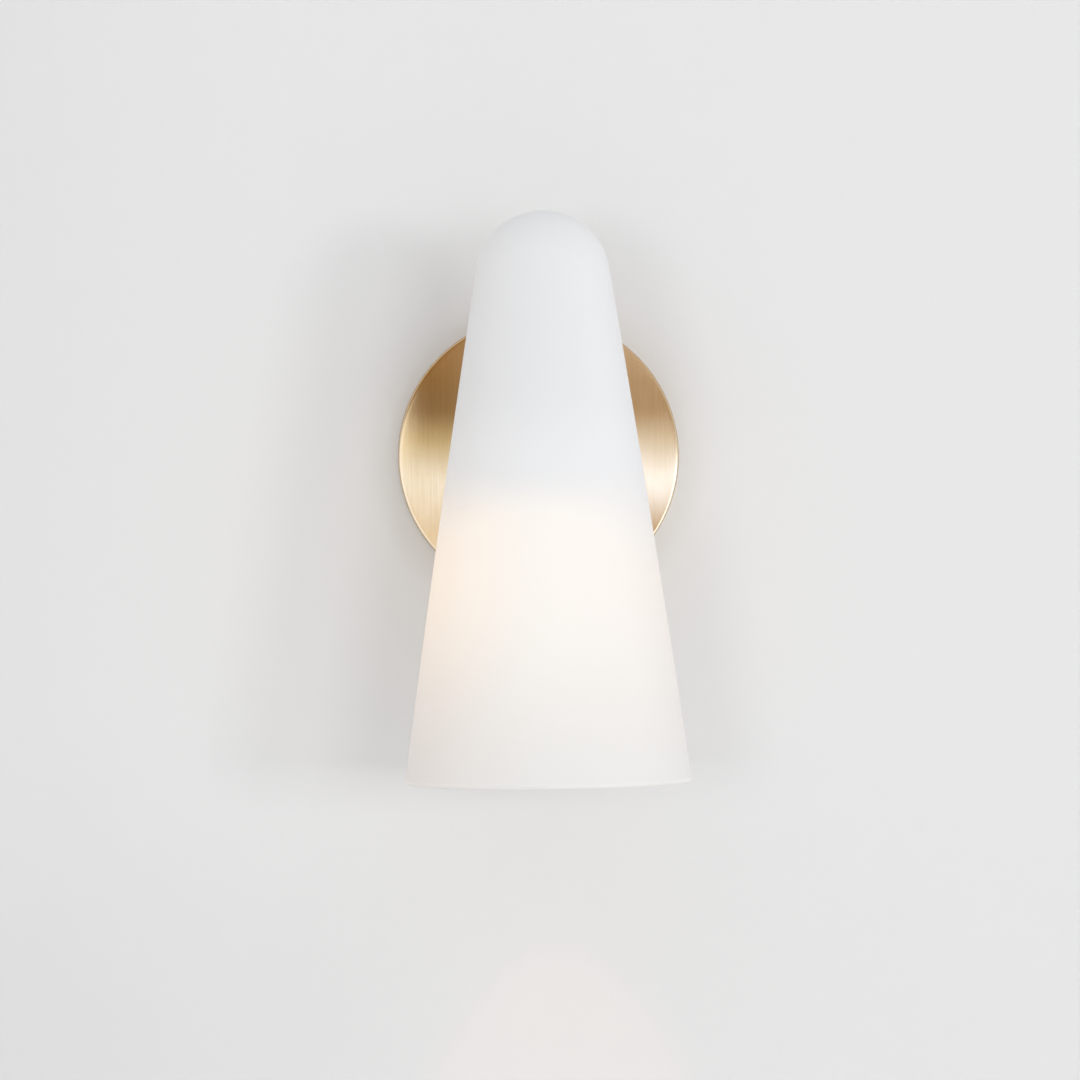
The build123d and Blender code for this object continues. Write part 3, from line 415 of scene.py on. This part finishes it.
def filament():
    """The phosphor coating on the light sticks."""
    finish = Finish("filament", {"Emission Strength": 1.0})
    grit = finish.noise(scale=1800.0)
    colour = finish.blend(grit, (0.85, 0.58, 0.18), (0.98, 0.78, 0.36))
    finish.apply({"Base Color": colour, "Emission Color": colour, "Roughness": 0.5 + grit * 0.2})
    return finish.material


def bulb_metal():
    """Nickel plate with a soft bloom."""
    finish = Finish("bulb_metal", {"Metallic": 1.0})
    bloom = finish.noise(scale=260.0, detail=3.0, roughness=0.55)
    colour = finish.blend(bloom, (0.62, 0.61, 0.59), (0.80, 0.79, 0.77))
    finish.apply({"Base Color": colour, "Roughness": 0.18 + bloom * 0.14})
    return finish.material


def porcelain():
    """White glaze over a warm body."""
    finish = Finish("porcelain", {"Coat Weight": 0.6, "Coat Roughness": 0.05, "IOR": 1.5})
    warm_white = (0.82, 0.805, 0.77)
    clean_white = (0.88, 0.87, 0.845)
    speck_brown = (0.52, 0.46, 0.38)
    body = finish.noise(scale=130.0, detail=3.0)
    speck = finish.ease(finish.noise(scale=700.0, detail=1.0, roughness=0.4), 0.72, 0.8)
    white = finish.blend(body, warm_white, clean_white)
    colour = finish.blend(speck * 0.4, white, speck_brown)
    finish.apply({"Base Color": colour, "Roughness": 0.16 + body * 0.1})
    finish.relief(body, distance=0.00004, strength=0.3)
    return finish.material


def clear_silicone():
    """Milky silicone with a dull skin."""
    finish = Finish("clear_silicone", {"IOR": 1.41})
    cloud = finish.noise(scale=180.0, detail=3.0)
    colour = finish.blend(cloud, (0.74, 0.74, 0.72), (0.84, 0.84, 0.82))
    finish.apply({"Base Color": colour, "Roughness": 0.42 + cloud * 0.2})
    return finish.material


def white_nylon():
    """Moulded nylon with the mould's fine grain."""
    finish = Finish("white_nylon", {"IOR": 1.53})
    grain = finish.noise(scale=2200.0)
    flow = finish.noise(scale=90.0, detail=3.0)
    colour = finish.blend(flow, (0.78, 0.775, 0.74), (0.86, 0.855, 0.83))
    finish.apply({"Base Color": colour, "Roughness": 0.42 + grain * 0.16})
    finish.relief(grain, distance=0.00003, strength=0.3)
    return finish.material


def lead_sleeve(name, dark, light, stripe_color=None):
    """Drawn plastic insulation of one colour, with the earth lead's stripe along it where one is given."""
    finish = Finish(name, {"IOR": 1.5})
    drawn = finish.noise(scale=700.0)
    colour = finish.blend(drawn, dark, light)
    if stripe_color:
        lead_low, lead_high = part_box("earth_lead")
        middle = (lead_low.x + lead_high.x) / 2
        stripe = finish.ease(finish.along("X"), middle - 0.0001, middle + 0.0001)
        colour = finish.blend(stripe, colour, stripe_color)
    finish.apply({"Base Color": colour, "Roughness": 0.36 + drawn * 0.16})
    return finish.material


def pale_backdrop():
    """A matte pale wall, open behind the plate, and clear from behind so that the lamp's back shows."""
    finish = Finish("pale_backdrop", {"Roughness": 0.85, "Specular IOR Level": 0.0})
    x = finish.along("X")
    z = finish.along("Z")
    radius_squared = x * x + z * z
    darker_plaster = [channel * PLASTER_SHADE for channel in WALL_COLOR]
    painted_shade = [channel * PAINTED_SHADE_SHARE for channel in WALL_COLOR]
    plaster = finish.blend(finish.noise(scale=3.0), darker_plaster, WALL_COLOR)
    # The wall is painted a little darker towards its left and its foot, and a painted shadow lies close
    # round the plate's lower half
    left = finish.ease(x, 0.0, -0.12)
    far_left = finish.ease(x, -0.10, -0.24)
    foot = finish.ease(z, -0.10, -0.26)
    near = finish.ease(radius_squared, (plate_radius + PAINTED_SHADOW_WIDTH) ** 2, plate_radius**2)
    painted_plate_shadow = near * finish.ease(z, 0.020, -0.010)
    dim = far_left * 0.45 + foot * (0.12 + left * 0.42) + painted_plate_shadow
    finish.apply({"Base Color": finish.blend(dim, plaster, painted_shade)})
    # The floor and the far wall are seen as pale as the surround, so that no edge of the room shows
    floor = finish.ease(z, COVE_RADIUS - FLOOR_DROP, -FLOOR_DROP)
    far = finish.ease(radius_squared, 1.0, 6.0)
    pale = floor + far - floor * far
    finish.cover(pale * finish.seen(), finish.node("ShaderNodeEmission", {}, {"Color": WORLD_COLOR}))
    hole = finish.ease(radius_squared, WALL_HOLE**2, (WALL_HOLE - WALL_HOLE_EDGE) ** 2)
    behind = finish.node("ShaderNodeNewGeometry", output="Backfacing")
    finish.clear_where(behind + hole - behind * hole)
    return finish.material


def dress_lamp():
    """Gives every piece its finish."""
    lathe_along_arm = (400.0, 5200.0, 400.0)
    lathe_upright = (400.0, 400.0, 5200.0)
    brown = ((0.10, 0.04, 0.018), (0.16, 0.07, 0.03))
    blue = ((0.02, 0.07, 0.28), (0.04, 0.11, 0.38))
    green = ((0.05, 0.26, 0.05), (0.08, 0.34, 0.08))
    yellow = (0.80, 0.66, 0.05)
    finishes = {
        "brushed_brass": brushed_brass(),
        "turned_brass": turned_brass("turned_brass", lathe_along_arm),
        "contact_brass": contact_brass(),
        "zinc_steel": zinc_steel(),
        "opal_glass": opal_glass(),
        "frosted_glass": frosted_glass(),
        "clear_glass": clear_glass(),
        "black_glass": black_glass(),
        "filament": filament(),
        "bulb_metal": bulb_metal(),
        "porcelain": porcelain(),
        "clear_silicone": clear_silicone(),
        "white_nylon": white_nylon(),
        "live_sleeve": lead_sleeve("live_sleeve", *brown),
        "neutral_sleeve": lead_sleeve("neutral_sleeve", *blue),
        "earth_sleeve": lead_sleeve("earth_sleeve", *green, stripe_color=yellow),
    }
    for part in frame["record"]["subparts"]:
        nodes[part["node"]].material_slots[0].material = finishes[part["material_slot"]]
    nodes["socket_cup"].material_slots[0].material = turned_brass("upright_turned_brass", lathe_upright)


def select_edges(mesh, is_chosen):
    """Selects the edges whose two ends are both chosen, and no others."""
    for edge in mesh.edges:
        edge.select = all(is_chosen(mesh.vertices[index].co) for index in edge.vertices)


def add_room():
    """One sheet that is the wall behind the lamp and the floor below it, joined by a cove."""
    bpy.ops.object.select_all(action="DESELECT")
    floor_place = (0.0, WALL_GAP - ROOM_SIZE / 2, -FLOOR_DROP)
    bpy.ops.mesh.primitive_plane_add(size=ROOM_SIZE, location=floor_place)
    room = bpy.context.object
    room.name = "pale_room"
    bpy.ops.object.transform_apply(location=True, rotation=False, scale=False)
    bpy.ops.object.mode_set(mode="EDIT")
    bpy.ops.mesh.select_mode(type="EDGE")
    bpy.ops.mesh.select_all(action="DESELECT")
    bpy.ops.object.mode_set(mode="OBJECT")
    # The floor's edge behind the lamp is drawn up into the wall, and the corner between them rounded
    select_edges(room.data, lambda end: end.y > 0.0)
    bpy.ops.object.mode_set(mode="EDIT")
    rise = (0.0, 0.0, ROOM_SIZE / 2 + FLOOR_DROP)
    bpy.ops.mesh.extrude_region_move(TRANSFORM_OT_translate={"value": rise})
    bpy.ops.object.mode_set(mode="OBJECT")
    select_edges(room.data, lambda end: end.y > 0.0 and end.z < 0.0)
    bpy.ops.object.mode_set(mode="EDIT")
    bpy.ops.mesh.bevel(offset=COVE_RADIUS, segments=COVE_SEGMENTS)
    bpy.ops.object.mode_set(mode="OBJECT")
    bpy.ops.object.shade_smooth()
    room.data.materials.append(pale_backdrop())
    room.visible_shadow = False
    return room


def add_light(data, place):
    """Puts a light at a place, where no camera and no reflection shows it."""
    light = bpy.data.objects.new(data.name, data)
    bpy.context.scene.collection.objects.link(light)
    light.location = place
    light.visible_camera = False
    light.visible_glossy = False
    return light


def light_receivers(name, pieces):
    """The pieces that a light falls on, where it falls on no others."""
    receivers = bpy.data.collections.new(name)
    for piece in pieces:
        receivers.objects.link(piece)
    return receivers


def add_soft_light(name, place, width, power):
    """A soft light that faces the shade."""
    data = bpy.data.lights.new(name, "AREA")
    data.shape = "RECTANGLE"
    data.size = width
    data.size_y = SOFT_LIGHT_LENGTH
    data.energy = power
    light = add_light(data, place)
    light.rotation_euler = (shade_middle - Vector(place)).to_track_quat("-Z", "Y").to_euler()
    return light


def add_lights():
    """Three soft lights far in front, one left and two right, and soft fill from both sides."""
    for name, (right, width, power) in KEY_LIGHTS.items():
        add_soft_light(name, (right, -KEY_OUT, KEY_HEIGHT), width, power)
    # The fill from the sides falls on the lamp alone, so that no bright patch shows on the wall
    lamp = light_receivers("lamp", nodes.values())
    for name, (right, width, power) in FILL_LIGHTS.items():
        fill = add_soft_light(name, (right, -FILL_OUT, FILL_HEIGHT), width, power)
        fill.light_linking.receiver_collection = lamp


def add_pool_light(room):
    """The bulb's light through the shade's mouth, as a pool on the wall below and nowhere else."""
    data = bpy.data.lights.new("bulb_light", "SPOT")
    data.energy = POOL_LIGHT_POWER
    data.color = POOL_LIGHT_COLOR
    data.use_shadow = False
    data.shadow_soft_size = POOL_LIGHT_RADIUS
    data.spot_size = POOL_LIGHT_ANGLE
    data.spot_blend = POOL_LIGHT_SOFT_EDGE
    light = add_light(data, (POOL_LIGHT_RIGHT, shade_axis_y, POOL_LIGHT_HEIGHT))
    light.light_linking.receiver_collection = light_receivers("lit_wall", [room])


def mirrored_tones():
    """What the plate mirrors: dim tones above, bright ones below and a warm one between them."""
    sockets = {"Base Color": (0.0, 0.0, 0.0), "Roughness": 1.0, "Emission Strength": 1.0}
    finish = Finish("mirrored_tones", sockets)
    daylight = (1.15, 1.18, 1.25)
    x = finish.along("X")
    z = finish.along("Z")
    side = finish.ease(x, -plate_radius, plate_radius * 0.6)
    dim_side = finish.ease(x, -plate_radius, plate_radius * 0.2)
    # Each tone has a colour for the plate's left and one for its right
    cloud = finish.noise(scale=90.0, stretch=(1.0, 1.0, 0.5))
    dim_left = finish.blend(cloud, (0.20, 0.115, 0.045), (0.28, 0.18, 0.08))
    dim_right = finish.blend(cloud, (0.44, 0.34, 0.26), (0.55, 0.44, 0.37))
    dim = finish.blend(dim_side, dim_left, dim_right)
    top = finish.blend(dim_side, (0.31, 0.17, 0.05), (0.60, 0.51, 0.47))
    warm = finish.blend(side, (0.62, 0.55, 0.38), (0.81, 0.80, 0.85))
    glow = finish.blend(side, (1.06, 1.15, 1.40), (1.30, 1.51, 2.22))
    low = finish.blend(side, (0.92, 0.88, 0.88), (0.62, 0.50, 0.42))
    beyond = finish.blend(side, (1.2, 1.2, 1.3), (2.2, 2.3, 2.6))
    # A strip of daylight lies at the far left of the dim and the warm tones
    strip = finish.ease(x, -0.050, -0.061) * finish.ease(z, 0.040, 0.010)
    dim = finish.blend(finish.ease(z, 0.024, 0.046), dim, top)
    dim = finish.blend(strip, dim, daylight)
    warm = finish.blend(strip, warm, daylight)
    # Past the plate's two sides lies the tone that its rounded edge mirrors
    outside = finish.ease(x * x, (plate_radius + 0.003) ** 2, (plate_radius + 0.020) ** 2)
    bright = finish.blend(finish.ease(z, -0.008, -0.036), glow, low)
    bright = finish.blend(outside, bright, beyond)
    shown = finish.blend(finish.ease(z, 0.0215, 0.0035), dim, warm)
    shown = finish.blend(finish.ease(z, 0.0095, -0.0125), shown, bright)
    finish.apply({"Emission Color": shown})
    behind = finish.node("ShaderNodeNewGeometry", output="Backfacing")
    finish.clear_where(1.0 - behind)
    return finish.material


def add_reflector():
    """A board before the plate that shows only in the brass."""
    bpy.ops.object.select_all(action="DESELECT")
    place = (0.0, plate_front - REFLECTOR_GAP, 0.0)
    bpy.ops.mesh.primitive_plane_add(size=1.0, location=place, rotation=(math.pi / 2, 0.0, 0.0))
    board = bpy.context.object
    board.name = "reflector"
    board.scale = (*REFLECTOR_SIZE, 1.0)
    bpy.ops.object.transform_apply(location=True, rotation=True, scale=True)
    board.data.materials.append(mirrored_tones())
    board.visible_camera = False
    board.visible_diffuse = False
    board.visible_transmission = False
    board.visible_shadow = False


def set_world():
    """An even pale surround, as pale as the wall where it is seen."""
    world = bpy.data.worlds.new("pale_surround")
    world.use_nodes = True
    sheet = NodeSheet(world.node_tree)
    light = sheet.node("ShaderNodeBackground", {}, {"Color": WORLD_COLOR, "Strength": WORLD_LIGHT})
    backdrop = sheet.node("ShaderNodeBackground", {}, {"Color": WORLD_COLOR})
    both = sheet.node("ShaderNodeMixShader", {}, {0: sheet.seen(), 1: light, 2: backdrop})
    sheet.set(world.node_tree.nodes["World Output"], "Surface", both)
    bpy.context.scene.world = world


def add_camera():
    """A long lens that puts the plate where the picture has it, rolled by the shade's lean."""
    scale = PLATE_RADIUS_PX / plate_radius
    turn = math.atan2(CAMERA_LEFT, CAMERA_DISTANCE)
    heading = Matrix.Rotation(-turn, 3, "Z") @ Matrix.Rotation(math.pi / 2, 3, "X")
    facing = heading @ Matrix.Rotation(-SHADE_LEAN, 3, "Z")
    across = (PLATE_CENTRE_PX[0] - PICTURE_SIDE / 2) / scale
    above = (PICTURE_SIDE / 2 - PLATE_CENTRE_PX[1]) / scale
    plate_middle = Vector((0.0, plate_front, 0.0))
    place = plate_middle - facing @ Vector((across, above, -CAMERA_DISTANCE))
    data = bpy.data.cameras.new("camera")
    data.sensor_width = SENSOR_WIDTH_MM
    data.lens = scale * CAMERA_DISTANCE / PICTURE_SIDE * SENSOR_WIDTH_MM
    camera = bpy.data.objects.new("camera", data)
    bpy.context.scene.collection.objects.link(camera)
    camera.matrix_world = Matrix.Translation(place) @ facing.to_4x4()
    bpy.context.scene.camera = camera


dress_lamp()
pale_room = add_room()
add_lights()
add_reflector()
add_pool_light(pale_room)
set_world()
add_camera()
bpy.context.scene.view_settings.view_transform = "Standard"
